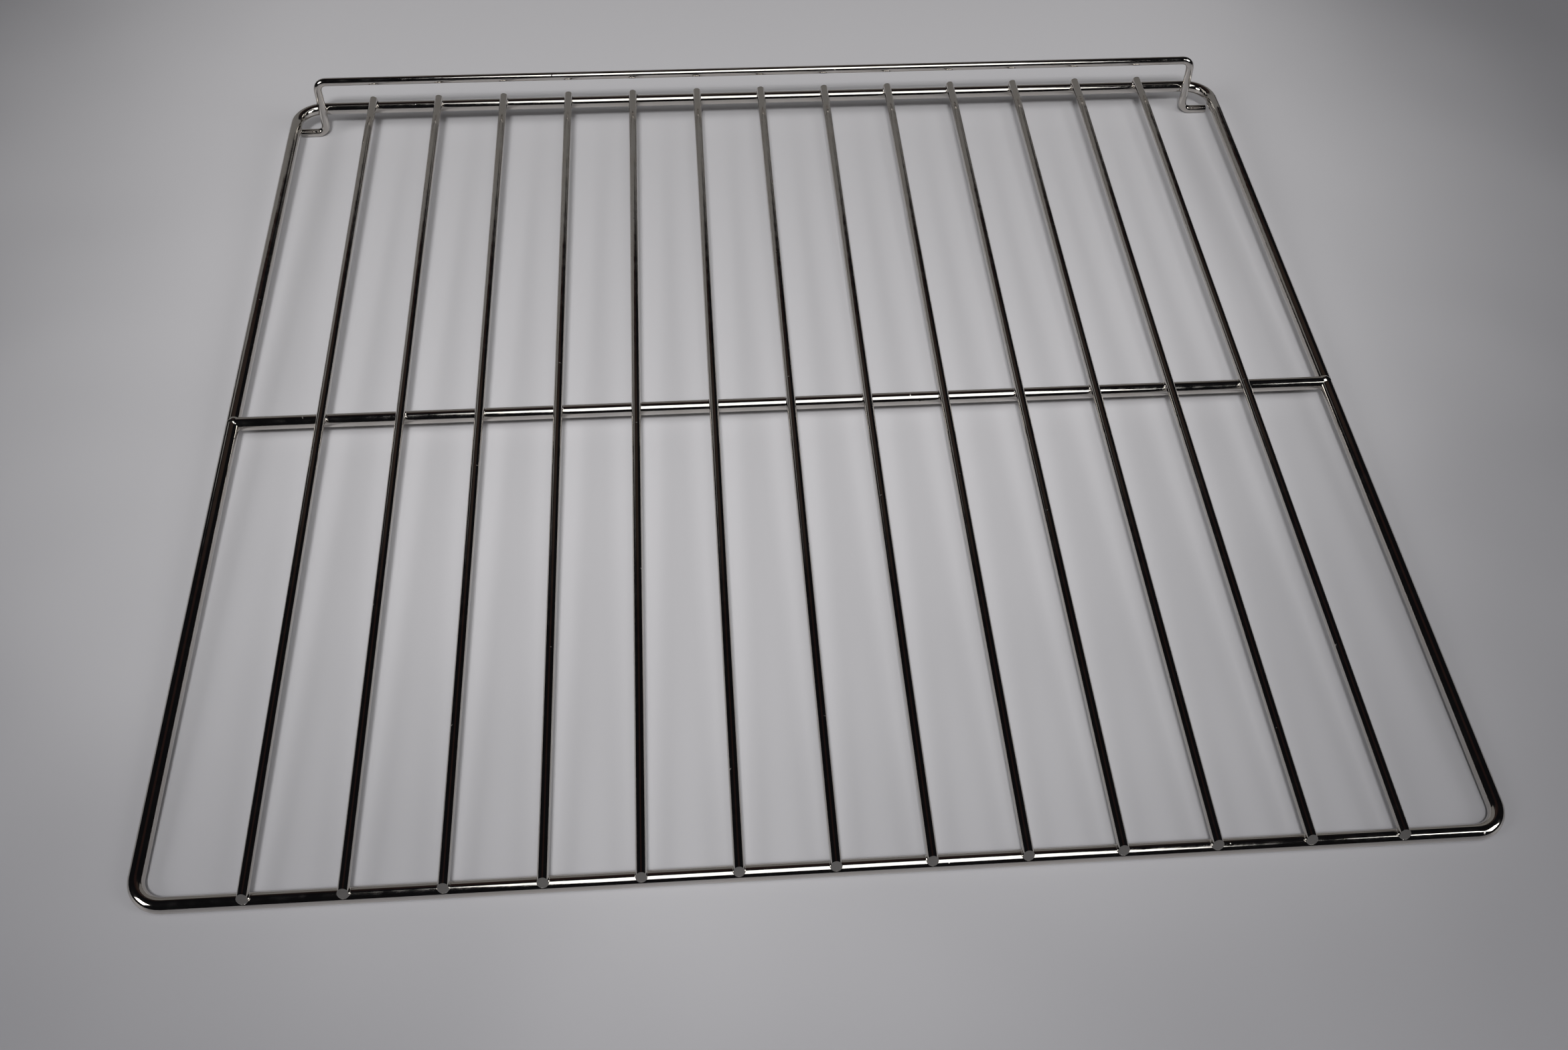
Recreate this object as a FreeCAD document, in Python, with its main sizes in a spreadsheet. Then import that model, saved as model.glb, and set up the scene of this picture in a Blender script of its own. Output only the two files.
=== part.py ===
import FreeCAD, Part
import Sketcher
import math
import os

# Oven shelf rack of welded wire, in millimetres.
# X runs from the left side rail to the right one, Y from the front rail to the rear rail, Z up.
# The origin is the middle of the rack in plan, level with the underside of the two rear feet.

SIZES = {
    # Heavy wire: closed frame with rounded corners, measured over the outside
    "frame_width": 459.4,
    "frame_depth": 423.6,
    "frame_wire": 5.5,
    "front_corner_radius": 10.0,
    "rear_corner_radius": 12.0,
    # Tail: the stretch behind the bend, which slopes down to the rear rail
    "tail_length": 22.0,
    "tail_bend_radius": 30.0,
    "tail_bend_angle": 2.0,
    # Heavy wire across the middle, measured from the front rail and from the side rails' axes
    "support_wire": 5.5,
    "support_setback": 208.5,
    "support_end_inset": 1.2,
    # Thin wires from front to rear, how far they run past the rails' axes, and the slope of their front ends
    "rod_wire": 3.8,
    "rod_pitch": 31.8,
    "rod_front_overhang": 2.1,
    "rod_rear_overhang": 1.3,
    "rod_end_slope": 24.0,
    "rod_set_down": 1.0,
    # Thin wire of the rear stop: legs from the side rails' axes, bar and feet from the rear rail's axis
    "stop_wire": 3.8,
    "stop_leg_inset": 11.5,
    "stop_bar_rise": 16.6,
    "stop_foot_drop": 10.7,
    "stop_foot_reach": 12.7,
    "stop_bend_radius": 4.5,
    "stop_lean": 6.0,
    "stop_set_down": 0.6,
    # Broken edge at each cut end of the thin wires
    "cut_end_chamfer": 0.25,
}
ROD_COUNT = 13

# Places worked out from the sizes
HALF_WIDTH = "(Sizes.frame_width - Sizes.frame_wire) / 2"
HALF_DEPTH = "(Sizes.frame_depth - Sizes.frame_wire) / 2"
BEND_RUN = "Sizes.tail_bend_radius * sin(Sizes.tail_bend_angle)"
BEND_DROP = "Sizes.tail_bend_radius * (1 - cos(Sizes.tail_bend_angle))"
TAIL_RUN = "Sizes.tail_length * cos(Sizes.tail_bend_angle)"
TAIL_DROP = "Sizes.tail_length * sin(Sizes.tail_bend_angle)"
BEND_START = f"{HALF_DEPTH} - {TAIL_RUN} - {BEND_RUN}"
ROD_RISE = "(Sizes.frame_wire + Sizes.rod_wire) / 2 - Sizes.rod_set_down"
ROD_FRONT = f"-({HALF_DEPTH}) - Sizes.rod_front_overhang"
LEG_OFFSET = "(Sizes.frame_wire + Sizes.stop_wire) / 2 - Sizes.stop_set_down"
FOOT_DEPTH = (f"Sizes.stop_foot_drop * cos(Sizes.stop_lean) - ({LEG_OFFSET}) * sin(Sizes.stop_lean)"
              " + Sizes.stop_wire / 2")
REAR_RAIL_HEIGHT = FOOT_DEPTH
FRAME_HEIGHT = f"{FOOT_DEPTH} + {TAIL_DROP} + {BEND_DROP}"

# Sketch references
ORIGIN = (-1, 1)
HORIZONTAL_AXIS = -1
VERTICAL_AXIS = -2
START, END, CENTRE = 1, 2, 3

doc = FreeCAD.newDocument("oven_shelf_rack")
sheet = doc.addObject("Spreadsheet::Sheet", "Sizes")
for row, (alias, size) in enumerate(SIZES.items(), start=1):
    sheet.set(f"A{row}", str(size))
    sheet.setAlias(f"A{row}", alias)
doc.recompute()


def value_of(expression):
    """Number that an expression of the sheet's sizes stands for."""
    return float(sheet.evalExpression(expression))


def new_body(name, height):
    """Body whose own XY plane lies at the given height."""
    body = doc.addObject("PartDesign::Body", name)
    body.setExpression("Placement.Base.z", height)
    return body


def new_sketch(body, name, role):
    """Sketch on one of the body's origin planes."""
    sketch = body.newObject("Sketcher::SketchObject", name)
    plane = next(feature for feature in body.Origin.OriginFeatures if feature.Role == role)
    sketch.AttachmentSupport = [(plane, "")]
    sketch.MapMode = "FlatFace"
    return sketch


def dimension(sketch, kind, references, expression, value):
    """Add a dimension that follows an expression."""
    index = sketch.addConstraint(Sketcher.Constraint(kind, *references, value))
    sketch.setExpression(f"Constraints[{index}]", expression)


def locate(sketch, point, kind, expression):
    """Hold a sketch point at a signed distance from the origin, along X or along Y."""
    value = value_of(expression)
    if value == 0:
        axis = VERTICAL_AXIS if kind == "DistanceX" else HORIZONTAL_AXIS
        sketch.addConstraint(Sketcher.Constraint("PointOnObject", *point, axis))
    elif value > 0:
        dimension(sketch, kind, (*ORIGIN, *point), expression, value)
    else:
        dimension(sketch, kind, (*point, *ORIGIN), f"-({expression})", -value)


def square_bend(before, corner, after, radius):
    """Arc that rounds a right-angled corner, with the index of its first and of its last point."""
    incoming = (corner - before).normalize()
    outgoing = (after - corner).normalize()
    centre = corner + (outgoing - incoming) * radius
    turns_left = incoming.cross(outgoing).z > 0
    first = -outgoing if turns_left else incoming
    angle = math.atan2(first.y, first.x)
    circle = Part.Circle(centre, FreeCAD.Vector(0, 0, 1), radius)
    arc = Part.ArcOfCircle(circle, angle, angle + math.pi / 2)
    return (arc, START, END) if turns_left else (arc, END, START)


def square_path(sketch, corners, radii):
    """Straight runs along X or Y with a tangent arc at each inner corner.

    The corners are pairs of expressions, and there is one radius expression for each inner corner.
    """
    points = [FreeCAD.Vector(value_of(across), value_of(up), 0) for across, up in corners]
    bends = []
    for inner, radius in enumerate(radii, start=1):
        bends.append(square_bend(*points[inner - 1:inner + 2], value_of(radius)))
    ends = [points[0]]
    for arc, first, last in bends:
        tips = {START: arc.StartPoint, END: arc.EndPoint}
        ends += [tips[first], tips[last]]
    ends.append(points[-1])

    runs = []
    for index, (across, up) in enumerate(corners[:-1]):
        run = sketch.addGeometry(Part.LineSegment(ends[2 * index], ends[2 * index + 1]), False)
        upright = across == corners[index + 1][0]
        sketch.addConstraint(Sketcher.Constraint("Vertical" if upright else "Horizontal", run))
        locate(sketch, (run, START), "DistanceX" if upright else "DistanceY", across if upright else up)
        runs.append((run, upright))
    for index, (arc, first, last) in enumerate(bends):
        bend = sketch.addGeometry(arc, False)
        sketch.addConstraint(Sketcher.Constraint("Tangent", runs[index][0], END, bend, first))
        sketch.addConstraint(Sketcher.Constraint("Tangent", bend, last, runs[index + 1][0], START))
        dimension(sketch, "Radius", (bend,), radii[index], arc.Radius)
    for corner, (run, upright), tip in ((corners[0], runs[0], START), (corners[-1], runs[-1], END)):
        locate(sketch, (run, tip), "DistanceY" if upright else "DistanceX", corner[1 if upright else 0])


def draw_wire(body, path, diameter):
    """Round wire along a path sketch, with its section square to the path's first run."""
    section = body.newObject("Sketcher::SketchObject", path.Name + "_section")
    section.AttachmentSupport = [(path, "Edge1")]
    section.MapMode = "NormalToEdge"
    size = value_of(diameter)
    circle = section.addGeometry(Part.Circle(FreeCAD.Vector(), FreeCAD.Vector(0, 0, 1), size / 2), False)
    section.addConstraint(Sketcher.Constraint("Coincident", circle, CENTRE, *ORIGIN))
    dimension(section, "Diameter", (circle,), diameter, size)
    wire = body.newObject("PartDesign::AdditivePipe", path.Name + "_wire")
    wire.Profile = section
    wire.Spine = (path, [""])
    doc.recompute()
    return wire


def cut_ends(wire):
    """Flat faces at the two ends of a wire."""
    return [face for face in wire.Shape.Faces if isinstance(face.Surface, Part.Plane)]


def break_edges(body, wire, end_faces):
    """Chamfer round the given cut ends of a wire."""
    end_edges = []
    for index, edge in enumerate(wire.Shape.Edges, start=1):
        if any(edge.isSame(rim) for face in end_faces for rim in face.Edges):
            end_edges.append(f"Edge{index}")
    chamfer = body.newObject("PartDesign::Chamfer", wire.Name + "_ends")
    chamfer.Base = (wire, end_edges)
    chamfer.setExpression("Size", "Sizes.cut_end_chamfer")
    doc.recompute()


def make_frame():
    """Closed frame: flat front loop, two gentle bends, and the rear loop that slopes down."""
    body = new_body("perimeter_frame", FRAME_HEIGHT)
    front = new_sketch(body, "front_loop", "XY_Plane")
    front_corners = [
        (HALF_WIDTH, BEND_START),
        (HALF_WIDTH, f"-({HALF_DEPTH})"),
        (f"-({HALF_WIDTH})", f"-({HALF_DEPTH})"),
        (f"-({HALF_WIDTH})", BEND_START),
    ]
    square_path(front, front_corners, ["Sizes.front_corner_radius"] * 2)
    draw_wire(body, front, "Sizes.frame_wire")

    bends = new_sketch(body, "tail_bend_sections", "XZ_Plane")
    bends.setExpression("AttachmentOffset.Base.y", "-Sizes.tail_bend_radius")
    bends.setExpression("AttachmentOffset.Base.z", f"-({BEND_START})")
    for side in (HALF_WIDTH, f"-({HALF_WIDTH})"):
        centre = FreeCAD.Vector(value_of(side), SIZES["tail_bend_radius"], 0)
        ring = Part.Circle(centre, FreeCAD.Vector(0, 0, 1), SIZES["frame_wire"] / 2)
        circle = bends.addGeometry(ring, False)
        locate(bends, (circle, CENTRE), "DistanceX", side)
        locate(bends, (circle, CENTRE), "DistanceY", "Sizes.tail_bend_radius")
        dimension(bends, "Diameter", (circle,), "Sizes.frame_wire", SIZES["frame_wire"])
    turn = body.newObject("PartDesign::Revolution", "tail_bends")
    turn.Profile = bends
    turn.ReferenceAxis = (bends, ["H_Axis"])
    turn.Reversed = True
    turn.setExpression("Angle", "Sizes.tail_bend_angle")
    doc.recompute()

    rear = new_sketch(body, "rear_loop", "XY_Plane")
    rear_start = f"vector(0; {BEND_START} + {BEND_RUN}; -({BEND_DROP}))"
    rear.setExpression(
        "AttachmentOffset", f"placement({rear_start}; rotation(vector(1; 0; 0); -Sizes.tail_bend_angle))"
    )
    rear_corners = [
        (HALF_WIDTH, "0"),
        (HALF_WIDTH, "Sizes.tail_length"),
        (f"-({HALF_WIDTH})", "Sizes.tail_length"),
        (f"-({HALF_WIDTH})", "0"),
    ]
    square_path(rear, rear_corners, ["Sizes.rear_corner_radius"] * 2)
    draw_wire(body, rear, "Sizes.frame_wire")
    return body


def trim(body, label, seat):
    """Wire with a saddle cut wherever it is welded into the wires that carry it."""
    piece = doc.addObject("Part::Cut", label)
    piece.Base = body
    piece.Tool = seat
    piece.Label = label
    return piece


def make_support(frame):
    """Straight wire between the side rails, its ends shaped to the rails."""
    body = new_body("support_length", FRAME_HEIGHT)
    body.setExpression("Placement.Base.y", f"Sizes.support_setback - ({HALF_DEPTH})")
    path = new_sketch(body, "support_path", "XZ_Plane")
    reach = f"{HALF_WIDTH} - Sizes.support_end_inset"
    square_path(path, [(f"-({reach})", "0"), (reach, "0")], [])
    draw_wire(body, path, "Sizes.support_wire")
    return trim(body, "centre_support", frame)


def rod_path(body):
    """Straight run, gentle bend and sloping tail of a rod, seen from the side."""
    path = new_sketch(body, body.Name + "_path", "YZ_Plane")
    upward = FreeCAD.Vector(0, 0, 1)
    rise = value_of(ROD_RISE)
    bend_start = value_of(BEND_START)
    bend_radius = f"Sizes.tail_bend_radius + {ROD_RISE}"
    bend_angle = math.radians(SIZES["tail_bend_angle"])
    tail_length = "Sizes.tail_length + Sizes.rod_rear_overhang"
    straight = Part.LineSegment(FreeCAD.Vector(value_of(ROD_FRONT), rise), FreeCAD.Vector(bend_start, rise))
    centre = FreeCAD.Vector(bend_start, -SIZES["tail_bend_radius"])
    circle = Part.Circle(centre, upward, value_of(bend_radius))
    arc = Part.ArcOfCircle(circle, math.pi / 2 - bend_angle, math.pi / 2)
    slope = FreeCAD.Vector(math.cos(bend_angle), -math.sin(bend_angle))
    tail = Part.LineSegment(arc.StartPoint, arc.StartPoint + slope * value_of(tail_length))

    run, bend, end = (path.addGeometry(shape, False) for shape in (straight, arc, tail))
    path.addConstraint(Sketcher.Constraint("Horizontal", run))
    locate(path, (run, START), "DistanceX", ROD_FRONT)
    locate(path, (run, START), "DistanceY", ROD_RISE)
    locate(path, (run, END), "DistanceX", BEND_START)
    path.addConstraint(Sketcher.Constraint("Tangent", run, END, bend, END))
    path.addConstraint(Sketcher.Constraint("Tangent", bend, START, end, START))
    dimension(path, "Radius", (bend,), bend_radius, arc.Radius)
    dimension(path, "Angle", (bend,), "Sizes.tail_bend_angle * 1 deg", bend_angle)
    dimension(path, "Distance", (end,), tail_length, tail.length())
    return path


def make_rod(number, seat):
    """One rod: bent wire with a broken edge at the rear and a front end sheared at a slope."""
    body = new_body(f"rod_length_{number:02d}", FRAME_HEIGHT)
    from_middle = number - (ROD_COUNT + 1) / 2
    body.setExpression("Placement.Base.x", f"({from_middle}) * Sizes.rod_pitch")
    wire = draw_wire(body, rod_path(body), "Sizes.rod_wire")

    rear_end = max(cut_ends(wire), key=lambda face: face.CenterOfMass.y)
    break_edges(body, wire, [rear_end])
    shear = body.newObject("PartDesign::SubtractiveBox", body.Name + "_shear")
    shear.setExpression("Length", "Sizes.rod_wire")
    shear.setExpression("Width", "Sizes.rod_wire")
    shear.setExpression("Height", "2 * Sizes.rod_wire")
    across = "-Sizes.rod_wire / 2"
    along = f"{ROD_FRONT} - Sizes.rod_wire * cos(Sizes.rod_end_slope)"
    up = f"{ROD_RISE} - Sizes.rod_wire / 2 + Sizes.rod_wire * sin(Sizes.rod_end_slope)"
    turn = "rotation(vector(1; 0; 0); -Sizes.rod_end_slope)"
    shear.setExpression("Placement", f"placement(vector({across}; {along}; {up}); {turn})")
    doc.recompute()
    return trim(body, f"rod_{number:02d}", seat)


def make_stop(frame):
    """Top-hat wire in front of the rear rail, leaning back about that rail's axis."""
    body = doc.addObject("PartDesign::Body", "stop_length")
    place = f"vector(0; {HALF_DEPTH}; {REAR_RAIL_HEIGHT})"
    body.setExpression("Placement", f"placement({place}; rotation(vector(1; 0; 0); -Sizes.stop_lean))")
    path = new_sketch(body, "stop_path", "XZ_Plane")
    path.setExpression("AttachmentOffset.Base.z", LEG_OFFSET)
    leg = f"{HALF_WIDTH} - Sizes.stop_leg_inset"
    toe = f"{leg} + Sizes.stop_foot_reach"
    bar = "Sizes.stop_bar_rise"
    foot = "-Sizes.stop_foot_drop"
    right_half = [(leg, bar), (leg, foot), (toe, foot)]
    left_half = [(f"-({across})", up) for across, up in reversed(right_half)]
    square_path(path, left_half + right_half, ["Sizes.stop_bend_radius"] * 4)
    wire = draw_wire(body, path, "Sizes.stop_wire")
    break_edges(body, wire, cut_ends(wire))
    return trim(body, "rear_stop", frame)


def check(pieces):
    """Stop if any object of the document failed or any piece isn't one valid solid."""
    for item in doc.Objects:
        if "Invalid" in item.State or "Error" in item.State:
            raise RuntimeError(f"{item.Name} failed: {item.State}")
    for piece in pieces:
        shape = piece.Shape
        if shape.isNull() or not shape.isValid() or len(shape.Solids) != 1:
            raise RuntimeError(f"{piece.Label} is not one valid solid")


def main():
    """Build every wire, check them all and write one file for each."""
    frame = make_frame()
    support = make_support(frame)
    bed = doc.addObject("Part::Compound", "rod_seats")
    bed.Links = [frame, support]
    rods = [make_rod(number, bed) for number in range(1, ROD_COUNT + 1)]
    stop = make_stop(frame)
    doc.recompute()

    pieces = [frame, support, *rods, stop]
    check(pieces)
    os.makedirs("parts", exist_ok=True)
    for piece in pieces:
        piece.Shape.exportStep(f"parts/{piece.Label}.step")
        box = piece.Shape.BoundBox
        print(f"{piece.Label}: {piece.Shape.Volume:.1f} mm3, {box}")


main()
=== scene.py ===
"""Oven shelf rack: plated wires with their weld flash, on a pale floor under soft studio light."""

import logging
import math
from dataclasses import dataclass
from enum import Enum

import bmesh
import bpy
from mathutils import Matrix, Vector, noise


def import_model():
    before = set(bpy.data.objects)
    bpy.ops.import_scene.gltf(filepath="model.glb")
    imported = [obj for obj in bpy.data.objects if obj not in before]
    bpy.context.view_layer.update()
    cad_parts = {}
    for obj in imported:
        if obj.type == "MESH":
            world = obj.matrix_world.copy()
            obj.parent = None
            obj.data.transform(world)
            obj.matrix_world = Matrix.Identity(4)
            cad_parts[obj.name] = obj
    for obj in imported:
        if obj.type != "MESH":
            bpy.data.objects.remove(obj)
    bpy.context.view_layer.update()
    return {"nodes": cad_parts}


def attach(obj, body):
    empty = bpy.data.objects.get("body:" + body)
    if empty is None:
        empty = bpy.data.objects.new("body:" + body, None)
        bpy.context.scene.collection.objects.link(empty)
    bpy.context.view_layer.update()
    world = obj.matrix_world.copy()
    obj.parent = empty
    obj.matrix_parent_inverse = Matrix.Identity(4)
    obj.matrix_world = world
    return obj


LOG = logging.getLogger("shelf_rack")
MM = 0.001
BODY = "root"
BACKDROP_TONE = (0.19, 0.187, 0.197, 1.0)

Colour = tuple[float, float, float, float]
Triple = tuple[float, float, float]
Setting = bpy.types.NodeSocket | float | Colour | Triple | Vector


class Rail(Enum):
    """Heavy wire that the rods lie across."""

    FRONT = "front_rail"
    SUPPORT = "centre_support"
    REAR = "rear_rail"


class End(Enum):
    """Side of the rack, as the sign of its X."""

    LEFT = -1
    RIGHT = 1


@dataclass(frozen=True)
class RackSizes:
    """Sizes that the pieces share, in metres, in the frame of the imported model."""

    rod_count: int = 13
    rod_pitch: float = 31.8 * MM
    rod_radius: float = 1.9 * MM
    rail_radius: float = 2.75 * MM
    rod_rise: float = 3.65 * MM
    rod_overhang: float = 2.1 * MM
    front_rail_y: float = -209.05 * MM
    support_y: float = -0.55 * MM
    rear_rail_y: float = 209.05 * MM
    side_rail_x: float = 226.95 * MM
    frame_height: float = 12.904 * MM
    rear_rail_height: float = 12.118 * MM
    stop_leg_x: float = 215.45 * MM
    stop_leg_gap: float = 4.05 * MM
    stop_lean: float = math.radians(6.0)
    foot_y: float = 203.9 * MM

    def rod_places(self) -> list[float]:
        """X of every rod, from left to right."""
        return [(number - (self.rod_count - 1) / 2) * self.rod_pitch for number in range(self.rod_count)]

    def rail_place(self, rail: Rail) -> tuple[float, float]:
        """Give where a heavy wire runs.

        Args:
            rail: The wire.

        Returns:
            Y and Z of its axis.
        """
        places = {
            Rail.FRONT: (self.front_rail_y, self.frame_height),
            Rail.SUPPORT: (self.support_y, self.frame_height),
            Rail.REAR: (self.rear_rail_y, self.rear_rail_height),
        }
        return places[rail]

    def shear_foot(self) -> Vector:
        """Lowest point of a rod's sheared front end, seen from the side."""
        rod_bottom = self.frame_height + self.rod_rise - self.rod_radius
        return Vector((0.0, self.front_rail_y - self.rod_overhang, rod_bottom))

    def floor_tilt(self) -> float:
        """Angle by which the floor rises to the front, where the rack rests on its front rail and feet."""
        front_bottom = self.frame_height - self.rail_radius
        return math.atan2(front_bottom, self.foot_y - self.front_rail_y)


def feed(tree: bpy.types.NodeTree, socket: bpy.types.NodeSocket, setting: Setting) -> None:
    """Link an input to another node's output, or give it a plain value.

    Args:
        tree: The node tree.
        socket: The input.
        setting: The output to link, or the value.
    """
    if isinstance(setting, bpy.types.NodeSocket):
        tree.links.new(setting, socket)
    else:
        socket.default_value = setting


def calculate(tree: bpy.types.NodeTree, operation: str, *settings: Setting) -> bpy.types.NodeSocket:
    """Add a calculation.

    Args:
        tree: The node tree.
        operation: What it works out.
        settings: Its inputs, in order.

    Returns:
        The result.
    """
    node = tree.nodes.new("ShaderNodeMath")
    node.operation = operation
    for socket, setting in zip(node.inputs, settings):
        feed(tree, socket, setting)
    return node.outputs["Value"]


def soft_step(tree: bpy.types.NodeTree, value: Setting, start: float, end: float) -> bpy.types.NodeSocket:
    """Add a smooth step from 0 to 1.

    Args:
        tree: The node tree.
        value: What the step depends on.
        start: Where the result is still 0.
        end: Where the result is 1, above or below the start.

    Returns:
        The step.
    """
    node = tree.nodes.new("ShaderNodeMapRange")
    node.interpolation_type = "SMOOTHSTEP"
    feed(tree, node.inputs["Value"], value)
    feed(tree, node.inputs["From Min"], start)
    feed(tree, node.inputs["From Max"], end)
    return node.outputs["Result"]


def mix_between(
    tree: bpy.types.NodeTree, share: Setting, first: Setting, second: Setting, kind: str = "RGBA"
) -> bpy.types.NodeSocket:
    """Add a mix of two colours or numbers.

    Args:
        tree: The node tree.
        share: How much of the second there is.
        first: The first colour or number.
        second: The second one.
        kind: RGBA for colours, FLOAT for numbers.

    Returns:
        The mix.
    """
    node = tree.nodes.new("ShaderNodeMix")
    node.data_type = kind
    feed(tree, node.inputs["Factor"], share)
    feed(tree, node.inputs["A"], first)
    feed(tree, node.inputs["B"], second)
    return node.outputs["Result"]


def cloud_pattern(
    tree: bpy.types.NodeTree, place: Setting, scale: Setting, detail: float
) -> bpy.types.NodeSocket:
    """Add a cloudy pattern.

    Args:
        tree: The node tree.
        place: Where on the piece the pattern is read.
        scale: Fineness of the pattern.
        detail: How many finer layers it has.

    Returns:
        The pattern, from 0 to 1.
    """
    node = tree.nodes.new("ShaderNodeTexNoise")
    feed(tree, node.inputs["Vector"], place)
    feed(tree, node.inputs["Scale"], scale)
    feed(tree, node.inputs["Detail"], detail)
    return node.outputs["Fac"]


def merge_shape(target: bmesh.types.BMesh, shape: bmesh.types.BMesh) -> None:
    """Add a finished shape to a piece's mesh and free it.

    Args:
        target: The piece's mesh.
        shape: The shape to add.
    """
    scratch = bpy.data.meshes.new("scratch")
    shape.to_mesh(scratch)
    shape.free()
    target.from_mesh(scratch)
    bpy.data.meshes.remove(scratch)


def finish_piece(name: str, shape: bmesh.types.BMesh, material: bpy.types.Material) -> bpy.types.Object:
    """Turn a mesh into a smooth piece that rides on the rack.

    Args:
        name: Name of the piece.
        shape: Its mesh, which is freed.
        material: Its finish.

    Returns:
        The piece.
    """
    mesh = bpy.data.meshes.new(name)
    for face in shape.faces:
        face.smooth = True
    shape.to_mesh(mesh)
    shape.free()
    mesh.materials.append(material)
    piece = bpy.data.objects.new(name, mesh)
    bpy.context.scene.collection.objects.link(piece)
    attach(piece, BODY)
    LOG.info("%s: %d faces", name, len(mesh.polygons))
    return piece


@dataclass(frozen=True)
class PlatingUnevenness:
    """Slight waves, nodules and haze that all bright plating here has."""

    name: str = "plating_unevenness"
    wave_detail: float = 1.0
    haze_detail: float = 3.0
    nodule_size: float = 0.07
    grain_share: float = 0.12
    clear_haze: float = 0.35
    full_haze: float = 0.7

    def build(self) -> bpy.types.NodeTree:
        """Make the node group.

        Returns:
            A group that puts out a tint, a roughness and a height.
        """
        group = bpy.data.node_groups.new(self.name, "ShaderNodeTree")
        sockets = group.interface
        for name in ("Wave Scale", "Nodule Scale", "Haze Scale", "Smoothest", "Roughest"):
            sockets.new_socket(name, in_out="INPUT", socket_type="NodeSocketFloat")
        for name in ("Clear Tint", "Warm Tint"):
            sockets.new_socket(name, in_out="INPUT", socket_type="NodeSocketColor")
        sockets.new_socket("Tint", in_out="OUTPUT", socket_type="NodeSocketColor")
        for name in ("Roughness", "Height"):
            sockets.new_socket(name, in_out="OUTPUT", socket_type="NodeSocketFloat")
        given = group.nodes.new("NodeGroupInput").outputs
        result = group.nodes.new("NodeGroupOutput").inputs
        place = group.nodes.new("ShaderNodeTexCoord").outputs["Object"]

        wave = cloud_pattern(group, place, given["Wave Scale"], self.wave_detail)
        haze = cloud_pattern(group, place, given["Haze Scale"], self.haze_detail)
        cells = group.nodes.new("ShaderNodeTexVoronoi")
        feed(group, cells.inputs["Vector"], place)
        feed(group, cells.inputs["Scale"], given["Nodule Scale"])
        nodule = soft_step(group, cells.outputs["Distance"], self.nodule_size, 0.0)
        lumps = calculate(group, "ADD", wave, nodule)
        height = calculate(group, "MULTIPLY_ADD", haze, self.grain_share, lumps)
        dullness = group.nodes.new("ShaderNodeMapRange")
        feed(group, dullness.inputs["Value"], haze)
        feed(group, dullness.inputs["From Min"], self.clear_haze)
        feed(group, dullness.inputs["From Max"], self.full_haze)
        feed(group, dullness.inputs["To Min"], given["Smoothest"])
        feed(group, dullness.inputs["To Max"], given["Roughest"])
        feed(group, result["Tint"], mix_between(group, wave, given["Clear Tint"], given["Warm Tint"]))
        feed(group, result["Roughness"], dullness.outputs["Result"])
        feed(group, result["Height"], height)
        return group


@dataclass(frozen=True)
class PlatedFinish:
    """Bright plating on one kind of wire."""

    name: str
    wave_scale: float
    wave_depth: float
    nodule_scale: float = 140.0
    haze_scale: float = 260.0
    smoothest: float = 0.05
    roughest: float = 0.13
    clear_tint: Colour = (0.545, 0.532, 0.515, 1.0)
    warm_tint: Colour = (0.512, 0.475, 0.43, 1.0)

    def build(self, group: bpy.types.NodeTree) -> bpy.types.Material:
        """Make the material.

        Args:
            group: The shared group for uneven plating.

        Returns:
            The material.
        """
        material = bpy.data.materials.new(self.name)
        material.use_nodes = True
        tree = material.node_tree
        shader = tree.nodes["Principled BSDF"]
        shader.inputs["Metallic"].default_value = 1.0
        uneven = tree.nodes.new("ShaderNodeGroup")
        uneven.node_tree = group
        settings = {
            "Wave Scale": self.wave_scale,
            "Nodule Scale": self.nodule_scale,
            "Haze Scale": self.haze_scale,
            "Smoothest": self.smoothest,
            "Roughest": self.roughest,
            "Clear Tint": self.clear_tint,
            "Warm Tint": self.warm_tint,
        }
        for name, setting in settings.items():
            feed(tree, uneven.inputs[name], setting)
        bump = tree.nodes.new("ShaderNodeBump")
        bump.inputs["Strength"].default_value = 1.0
        bump.inputs["Distance"].default_value = self.wave_depth
        feed(tree, bump.inputs["Height"], uneven.outputs["Height"])
        feed(tree, shader.inputs["Base Color"], uneven.outputs["Tint"])
        feed(tree, shader.inputs["Roughness"], uneven.outputs["Roughness"])
        feed(tree, shader.inputs["Normal"], bump.outputs["Normal"])
        return material


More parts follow.
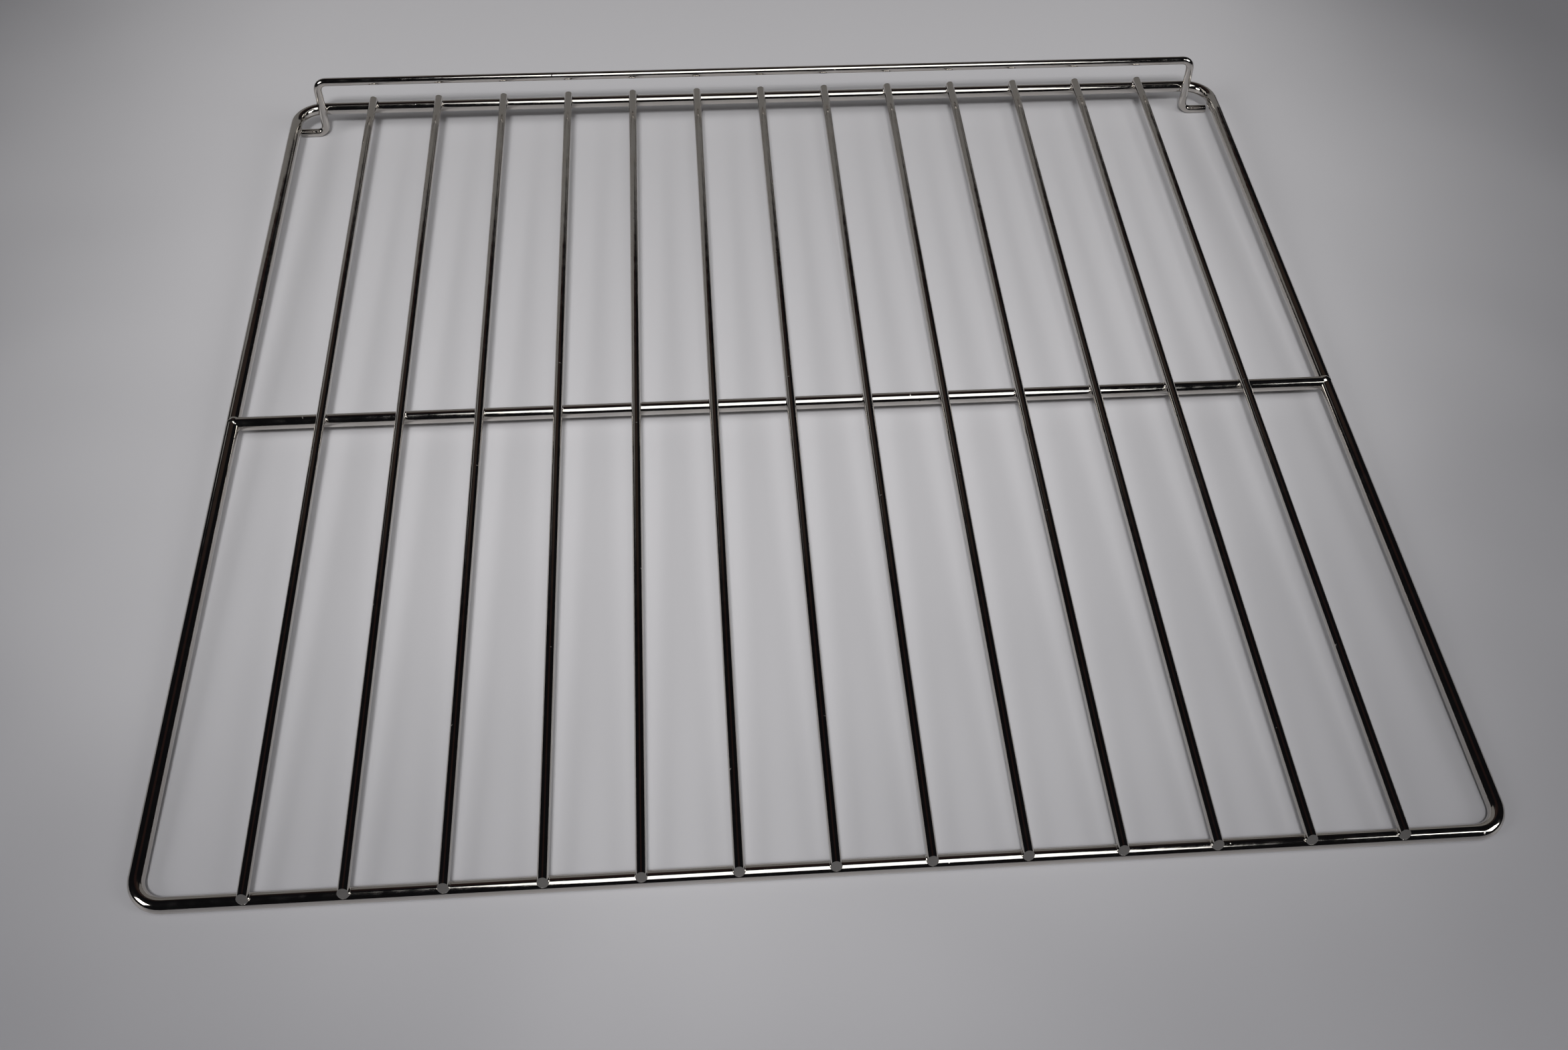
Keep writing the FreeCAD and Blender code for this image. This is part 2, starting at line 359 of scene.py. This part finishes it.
@dataclass(frozen=True)
class RodFinish(PlatedFinish):
    """Plating of the rods, dull on their sheared front ends, where painted shade darkens the tone."""

    sizes: RackSizes = RackSizes()
    shear_slope: float = math.radians(24.0)
    # Painted shade: the sheared faces' darker tone stands in for the dim surroundings they mirror; their
    # higher roughness is the cut face's own
    shear_painted_shade_tone: Colour = (0.30, 0.29, 0.275, 1.0)
    shear_roughness: float = 0.42
    shear_depth: float = 0.15 * MM

    def build(self, group: bpy.types.NodeTree) -> bpy.types.Material:
        """Make the material.

        Args:
            group: The shared group for uneven plating.

        Returns:
            The material.
        """
        material = super().build(group)
        tree = material.node_tree
        shader = tree.nodes["Principled BSDF"]
        plated_tone = shader.inputs["Base Color"].links[0].from_socket
        plated_roughness = shader.inputs["Roughness"].links[0].from_socket
        facing = Vector((0.0, -math.cos(self.shear_slope), math.sin(self.shear_slope)))
        face_level = facing.dot(self.sizes.shear_foot())
        place = tree.nodes.new("ShaderNodeTexCoord")
        level = tree.nodes.new("ShaderNodeVectorMath")
        level.operation = "DOT_PRODUCT"
        feed(tree, level.inputs[0], place.outputs["Object"])
        feed(tree, level.inputs[1], facing)
        on_face = soft_step(
            tree, level.outputs["Value"], face_level - self.shear_depth, face_level - self.shear_depth / 2
        )
        # Painted shade darkens the tone on the sheared faces
        tone = mix_between(tree, on_face, plated_tone, self.shear_painted_shade_tone)
        roughness = mix_between(tree, on_face, plated_roughness, self.shear_roughness, kind="FLOAT")
        feed(tree, shader.inputs["Base Color"], tone)
        feed(tree, shader.inputs["Roughness"], roughness)
        return material


@dataclass(frozen=True)
class FloorFinish:
    """Smooth pale sheet under the rack, with painted shade that darkens it outwards, and which runs into the
    backdrop.
    """

    name: str = "pale_floor"
    middle_tone: Colour = (0.487, 0.48, 0.494, 1.0)
    # Tone of the painted shade at the sheet's edges, standing in for light that falls off away from the
    # middle
    painted_shade_outer_tone: Colour = (0.184, 0.182, 0.192, 1.0)
    painted_shade_start: float = 0.323
    painted_shade_end: float = 0.69
    # Centre of the painted shade, where the sheet is brightest, and how much sooner the painted shade
    # darkens it to the sides than to front and rear
    painted_shade_centre: tuple[float, float] = (-0.016, 0.246)
    narrowing: float = 1.32
    cloud_scale: float = 5.0
    cloud_detail: float = 2.0
    cloud_reach: float = 0.12
    roughness: float = 0.45
    backdrop_start: float = 0.9
    backdrop_end: float = 2.4

    def build(self) -> bpy.types.Material:
        """Make the material.

        Returns:
            The material.
        """
        material = bpy.data.materials.new(self.name)
        material.use_nodes = True
        tree = material.node_tree
        shader = tree.nodes["Principled BSDF"]
        shader.inputs["Roughness"].default_value = self.roughness
        rays = tree.nodes.new("ShaderNodeLightPath").outputs
        place = tree.nodes.new("ShaderNodeTexCoord").outputs["Object"]
        centred = tree.nodes.new("ShaderNodeMapping")
        centre_x, centre_y = self.painted_shade_centre
        feed(tree, centred.inputs["Vector"], place)
        feed(tree, centred.inputs["Location"], (-centre_x * self.narrowing, -centre_y, 0.0))
        feed(tree, centred.inputs["Scale"], (self.narrowing, 1.0, 1.0))
        reach = tree.nodes.new("ShaderNodeVectorMath")
        reach.operation = "LENGTH"
        feed(tree, reach.inputs[0], centred.outputs["Vector"])

        # Painted shade: the colour darkens from the centre outwards on a cloudy edge, in place of light
        # falling off across the sheet
        clouds = cloud_pattern(tree, place, self.cloud_scale, self.cloud_detail)
        drift = calculate(tree, "MULTIPLY_ADD", clouds, self.cloud_reach, reach.outputs["Value"])
        painted_shade = soft_step(tree, drift, self.painted_shade_start, self.painted_shade_end)
        feed(tree, shader.inputs["Base Color"], mix_between(tree, painted_shade, self.middle_tone, self.painted_shade_outer_tone))

        far = soft_step(tree, reach.outputs["Value"], self.backdrop_start, self.backdrop_end)
        seen = calculate(tree, "ADD", rays["Is Camera Ray"], rays["Is Glossy Ray"])
        backdrop = tree.nodes.new("ShaderNodeEmission")
        backdrop.inputs["Color"].default_value = BACKDROP_TONE
        mixed = tree.nodes.new("ShaderNodeMixShader")
        feed(tree, mixed.inputs["Fac"], calculate(tree, "MULTIPLY", far, seen))
        feed(tree, mixed.inputs[1], shader.outputs["BSDF"])
        feed(tree, mixed.inputs[2], backdrop.outputs["Emission"])
        feed(tree, tree.nodes["Material Output"].inputs["Surface"], mixed.outputs["Shader"])
        return material


@dataclass(frozen=True)
class FlashLoop:
    """Bead of flash squeezed out round the joint where a thin wire lies across a heavy one."""

    wire_radius: float
    rail_radius: float
    rise: float
    bead_radius: float = 0.6 * MM
    loop_steps: int = 40
    bead_steps: int = 10
    lump_scale: float = 1.7
    lump_size: float = 0.55
    thinning: float = 0.4

    def joint(self, turn: float) -> Vector:
        """Find a point of the joint between the two round wires.

        Args:
            turn: Angle round the joint, seen from above; 0 is beside the thin wire.

        Returns:
            The point, from the heavy wire's axis, which lies along X.
        """
        lowest = self.rise - self.wire_radius
        reach = math.sqrt(self.rail_radius**2 - lowest**2)
        along = reach * math.sin(turn)
        up = math.sqrt(self.rail_radius**2 - along**2)
        across = math.sqrt(max(self.wire_radius**2 - (self.rise - up) ** 2, 0.0))
        return Vector((math.copysign(across, math.cos(turn)), along, up))

    def build(self, seed: float, front_bead: float = 1.0) -> bmesh.types.BMesh:
        """Model one bead.

        Args:
            seed: Place in the noise that makes this bead uneven.
            front_bead: Size of the bead at the thin wire's front, against its sides.

        Returns:
            The bead's mesh.
        """
        shape = bmesh.new()
        upright = Matrix.Rotation(math.pi / 2, 4, "X")
        outward = Matrix.Translation((self.rail_radius, 0.0, 0.0))
        ring = bmesh.ops.create_circle(
            shape, segments=self.bead_steps, radius=self.bead_radius, matrix=outward @ upright
        )
        edges = {edge for vert in ring["verts"] for edge in vert.link_edges}
        bmesh.ops.spin(
            shape,
            geom=ring["verts"] + list(edges),
            cent=(0.0, 0.0, 0.0),
            axis=(0.0, 0.0, 1.0),
            angle=math.tau,
            steps=self.loop_steps,
            use_merge=True,
        )
        for vert in shape.verts:
            turn = math.atan2(vert.co.y, vert.co.x)
            outward_step = math.hypot(vert.co.x, vert.co.y) - self.rail_radius
            away = Vector((math.cos(turn), math.sin(turn), 0.0))
            lump = noise.noise((away + Vector((0.0, 0.0, seed))) * self.lump_scale)
            under = math.sin(turn) ** 2
            to_front = max(-math.sin(turn), 0.0) ** 2
            size = (1.0 + self.lump_size * lump) * (1.0 - self.thinning * under)
            size *= 1.0 + (front_bead - 1.0) * to_front
            offset = away * outward_step + Vector((0.0, 0.0, vert.co.z))
            vert.co = self.joint(turn) + offset * size
        bmesh.ops.recalc_face_normals(shape, faces=shape.faces)
        return shape


@dataclass
class RodWelds:
    """Flash where every rod crosses one of the heavy wires."""

    sizes: RackSizes
    rail: Rail
    front_rail_bead: float = 0.1
    other_bead: float = 0.8
    seed_step: float = 3.1

    def build(self, material: bpy.types.Material) -> bpy.types.Object:
        """Model and dress the flash of all crossings.

        Args:
            material: Finish of the welds.

        Returns:
            The piece.
        """
        sizes = self.sizes
        loop = FlashLoop(sizes.rod_radius, sizes.rail_radius, sizes.rod_rise)
        rail_y, rail_z = sizes.rail_place(self.rail)
        front_bead = self.front_rail_bead if self.rail is Rail.FRONT else self.other_bead
        piece = bmesh.new()
        for number, rod_x in enumerate(sizes.rod_places()):
            seed = rail_y / sizes.rod_pitch + self.seed_step * number
            bead = loop.build(seed, front_bead)
            bmesh.ops.translate(bead, verts=bead.verts, vec=(rod_x, rail_y, rail_z))
            merge_shape(piece, bead)
        return finish_piece(f"{self.rail.value}_welds", piece, material)


@dataclass
class StopWelds:
    """Flash where the legs of the rear stop lie against the rear rail."""

    sizes: RackSizes
    bead_radius: float = 0.7 * MM
    seed_step: float = 7.7

    def build(self, material: bpy.types.Material) -> bpy.types.Object:
        """Model and dress the flash at both legs.

        Args:
            material: Finish of the welds.

        Returns:
            The piece.
        """
        sizes = self.sizes
        loop = FlashLoop(sizes.rod_radius, sizes.rail_radius, sizes.stop_leg_gap, self.bead_radius)
        rail_y, rail_z = sizes.rail_place(Rail.REAR)
        upright = Matrix.Rotation(math.pi / 2 - sizes.stop_lean, 4, "X")
        piece = bmesh.new()
        for end in End:
            place = Matrix.Translation((end.value * sizes.stop_leg_x, rail_y, rail_z))
            bead = loop.build(self.seed_step * end.value)
            bmesh.ops.transform(bead, matrix=place @ upright, verts=bead.verts)
            merge_shape(piece, bead)
        return finish_piece("stop_welds", piece, material)


@dataclass
class SupportEndWelds:
    """Domes where the ends of the centre support are fused into the side rails."""

    sizes: RackSizes
    dome_radius: float = 3.15 * MM
    dome_width: float = 0.92
    set_in: float = 0.4 * MM
    segments: int = 40
    rings: int = 24
    lump_scale: float = 1.6
    lump_size: float = 0.09
    seed_step: float = 4.3

    def dome(self, seed: float) -> bmesh.types.BMesh:
        """Model one uneven dome at the origin.

        Args:
            seed: Place in the noise that makes this dome uneven.

        Returns:
            The dome's mesh.
        """
        shape = bmesh.new()
        bmesh.ops.create_uvsphere(
            shape, u_segments=self.segments, v_segments=self.rings, radius=self.dome_radius
        )
        for vert in shape.verts:
            lump = noise.noise(vert.co / self.dome_radius * self.lump_scale + Vector((seed, 0.0, 0.0)))
            vert.co *= 1.0 + self.lump_size * lump
        bmesh.ops.scale(shape, verts=shape.verts, vec=(self.dome_width, 1.0, 1.0))
        bmesh.ops.recalc_face_normals(shape, faces=shape.faces)
        return shape

    def build(self, material: bpy.types.Material) -> bpy.types.Object:
        """Model and dress both domes.

        Args:
            material: Finish of the welds.

        Returns:
            The piece.
        """
        sizes = self.sizes
        piece = bmesh.new()
        for end in End:
            dome = self.dome(self.seed_step * end.value)
            place = (end.value * (sizes.side_rail_x - self.set_in), sizes.support_y, sizes.frame_height)
            bmesh.ops.translate(dome, verts=dome.verts, vec=place)
            merge_shape(piece, dome)
        return finish_piece("support_end_welds", piece, material)


@dataclass
class Wires:
    """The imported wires, which keep their shape and get their plating."""

    nodes: dict[str, bpy.types.Object]

    def dress(self, finishes: dict[str, bpy.types.Material]) -> None:
        """Give each wire the finish of its kind.

        Args:
            finishes: Material by the beginning of the wires' names.
        """
        for name, node in self.nodes.items():
            kind = next(start for start in finishes if name.startswith(start))
            for slot in node.material_slots:
                slot.material = finishes[kind]
            LOG.info("%s: dressed as %s", name, finishes[kind].name)


@dataclass(frozen=True)
class SoftLamp:
    """Flat lamp that faces the rack."""

    name: str
    place: Triple
    width: float
    length: float
    power: float
    mirrored: bool = True

    def hang(self) -> None:
        """Add the lamp to the scene."""
        light = bpy.data.lights.new(self.name, "AREA")
        light.shape = "RECTANGLE"
        light.size = self.width
        light.size_y = self.length
        light.energy = self.power
        lamp = bpy.data.objects.new(self.name, light)
        lamp.location = self.place
        lamp.rotation_euler = (-Vector(self.place)).to_track_quat("-Z", "Y").to_euler()
        lamp.visible_glossy = self.mirrored
        bpy.context.scene.collection.objects.link(lamp)


@dataclass(frozen=True)
class Surroundings:
    """Dim room that the plating mirrors, with a paler wall behind the rack that slopes down to the right."""

    room_tone: Colour = (0.006, 0.006, 0.007, 1.0)
    ceiling_tone: Colour = (0.022, 0.012, 0.011, 1.0)
    beam_tone: Colour = (0.036, 0.026, 0.022, 1.0)
    wall_tone: Colour = (0.213, 0.207, 0.201, 1.0)
    # Angles are seen from the rack. Each pair gives a soft edge's start and end on a unit direction.
    wall_top: float = math.radians(40.5)
    wall_left: float = math.radians(46.0)
    wall_right: float = math.radians(37.0)
    wall_slope: float = 0.63
    slope_height: float = 0.935
    top_blur: float = 0.02
    side_blur: float = 0.045
    ceiling_width: tuple[float, float] = (0.32, 0.12)
    ceiling_start: tuple[float, float] = (0.30, 0.45)
    beam_width: tuple[float, float] = (0.42, 0.30)
    beam_near: tuple[float, float] = (0.57, 0.62)
    beam_far: tuple[float, float] = (0.72, 0.68)

    def build(self) -> None:
        """Make the world: the room for reflections, a plain backdrop for the camera."""
        world = bpy.data.worlds.new("studio")
        world.use_nodes = True
        tree = world.node_tree
        place = tree.nodes.new("ShaderNodeTexCoord")
        parts = tree.nodes.new("ShaderNodeSeparateXYZ")
        feed(tree, parts.inputs["Vector"], place.outputs["Generated"])
        to_right, to_rear, up = parts.outputs
        aside = calculate(tree, "ABSOLUTE", to_right)

        along = soft_step(tree, to_rear, *self.ceiling_start)
        ceiling = calculate(tree, "MULTIPLY", along, soft_step(tree, aside, *self.ceiling_width))
        near = soft_step(tree, to_rear, *self.beam_near)
        far = soft_step(tree, to_rear, *self.beam_far)
        across = soft_step(tree, aside, *self.beam_width)
        beam = calculate(tree, "MULTIPLY", calculate(tree, "MULTIPLY", near, far), across)

        under_top = calculate(tree, "MULTIPLY_ADD", up, -1.0 / math.tan(self.wall_top), to_rear)
        from_left = calculate(tree, "MULTIPLY_ADD", to_rear, math.tan(self.wall_left), to_right)
        from_right = calculate(tree, "MULTIPLY_ADD", to_rear, -math.tan(self.wall_right), to_right)
        sloping = calculate(tree, "MULTIPLY_ADD", to_right, self.wall_slope, up)
        over_slope = calculate(tree, "MULTIPLY_ADD", to_rear, -self.slope_height, sloping)
        below = soft_step(tree, under_top, -self.top_blur, self.top_blur)
        past_left = soft_step(tree, from_left, -self.side_blur, self.side_blur)
        short_of_right = soft_step(tree, from_right, self.side_blur, -self.side_blur)
        under_slope = soft_step(tree, over_slope, self.side_blur, -self.side_blur)
        between_ends = calculate(tree, "MULTIPLY", past_left, short_of_right)
        wall = calculate(tree, "MULTIPLY", between_ends, calculate(tree, "MULTIPLY", below, under_slope))

        tone = mix_between(tree, ceiling, self.room_tone, self.ceiling_tone)
        tone = mix_between(tree, beam, tone, self.beam_tone)
        tone = mix_between(tree, wall, tone, self.wall_tone)
        rays = tree.nodes.new("ShaderNodeLightPath")
        tone = mix_between(tree, rays.outputs["Is Camera Ray"], tone, BACKDROP_TONE)
        feed(tree, tree.nodes["Background"].inputs["Color"], tone)
        bpy.context.scene.world = world


@dataclass
class Studio:
    """Floor, lamps, surroundings and camera."""

    sizes: RackSizes
    floor_size: float = 8.0
    lamps: tuple[SoftLamp, ...] = (
        SoftLamp("front_lamp", (0.15, -0.75, 1.85), width=1.06, length=1.4, power=12.0),
        SoftLamp("key_lamp", (-0.11, -0.73, 1.1), width=0.14, length=0.14, power=11.0, mirrored=False),
        SoftLamp("left_lamp", (-2.1, -0.85, 1.5), width=1.0, length=1.0, power=20.0),
        SoftLamp("right_lamp", (2.1, -0.85, 1.5), width=1.0, length=1.0, power=18.0),
        SoftLamp("corner_lamp", (1.25, -0.9, 1.78), width=0.24, length=0.5, power=1.6),
    )
    camera_place: Triple = (-0.04039, -0.42466, 0.47011)
    camera_turn: Triple = (0.66875, -0.01848, -0.06885)
    sensor_width: float = 36.0
    focal_length: float = 34.49

    def floor(self, material: bpy.types.Material) -> None:
        """Lay the floor against the bottom of the front rail and the feet.

        Args:
            material: Finish of the floor.
        """
        shape = bmesh.new()
        touch = Vector((0.0, self.sizes.front_rail_y, self.sizes.frame_height - self.sizes.rail_radius))
        tilt = Matrix.Rotation(-self.sizes.floor_tilt(), 4, "X")
        place = Matrix.Translation(touch) @ tilt
        bmesh.ops.create_grid(shape, x_segments=1, y_segments=1, size=self.floor_size / 2, matrix=place)
        mesh = bpy.data.meshes.new("floor")
        shape.to_mesh(mesh)
        shape.free()
        mesh.materials.append(material)
        floor = bpy.data.objects.new("floor", mesh)
        bpy.context.scene.collection.objects.link(floor)

    def camera(self) -> None:
        """Set the camera where the rack fills the picture, seen from the front and above."""
        lens = bpy.data.cameras.new("camera")
        lens.sensor_fit = "HORIZONTAL"
        lens.sensor_width = self.sensor_width
        lens.lens = self.focal_length
        camera = bpy.data.objects.new("camera", lens)
        camera.location = self.camera_place
        camera.rotation_euler = self.camera_turn
        bpy.context.scene.collection.objects.link(camera)
        bpy.context.scene.camera = camera

    def build(self, floor_material: bpy.types.Material) -> None:
        """Set up everything round the rack.

        Args:
            floor_material: Finish of the floor.
        """
        self.floor(floor_material)
        for lamp in self.lamps:
            lamp.hang()
        Surroundings().build()
        self.camera()
        bpy.context.scene.view_settings.view_transform = "Standard"


def main() -> None:
    """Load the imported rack, dress it, add its welds and set the scene."""
    logging.basicConfig(level=logging.INFO, format="%(name)s: %(message)s")
    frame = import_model()
    sizes = RackSizes()
    group = PlatingUnevenness().build()
    heavy = PlatedFinish("heavy_wire_plating", wave_scale=60.0, wave_depth=0.10 * MM).build(group)
    stop = PlatedFinish("stop_plating", wave_scale=75.0, wave_depth=0.08 * MM).build(group)
    rods = RodFinish("rod_plating", wave_scale=75.0, wave_depth=0.08 * MM, sizes=sizes).build(group)
    weld = PlatedFinish("weld_plating", wave_scale=500.0, wave_depth=0.12 * MM, roughest=0.22).build(group)
    wires = Wires(frame["nodes"])
    wires.dress({"perimeter_frame": heavy, "centre_support": heavy, "rod": rods, "rear_stop": stop})
    for rail in Rail:
        RodWelds(sizes, rail).build(weld)
    SupportEndWelds(sizes).build(weld)
    StopWelds(sizes).build(weld)
    Studio(sizes).build(FloorFinish().build())


if __name__ == "__main__":
    main()
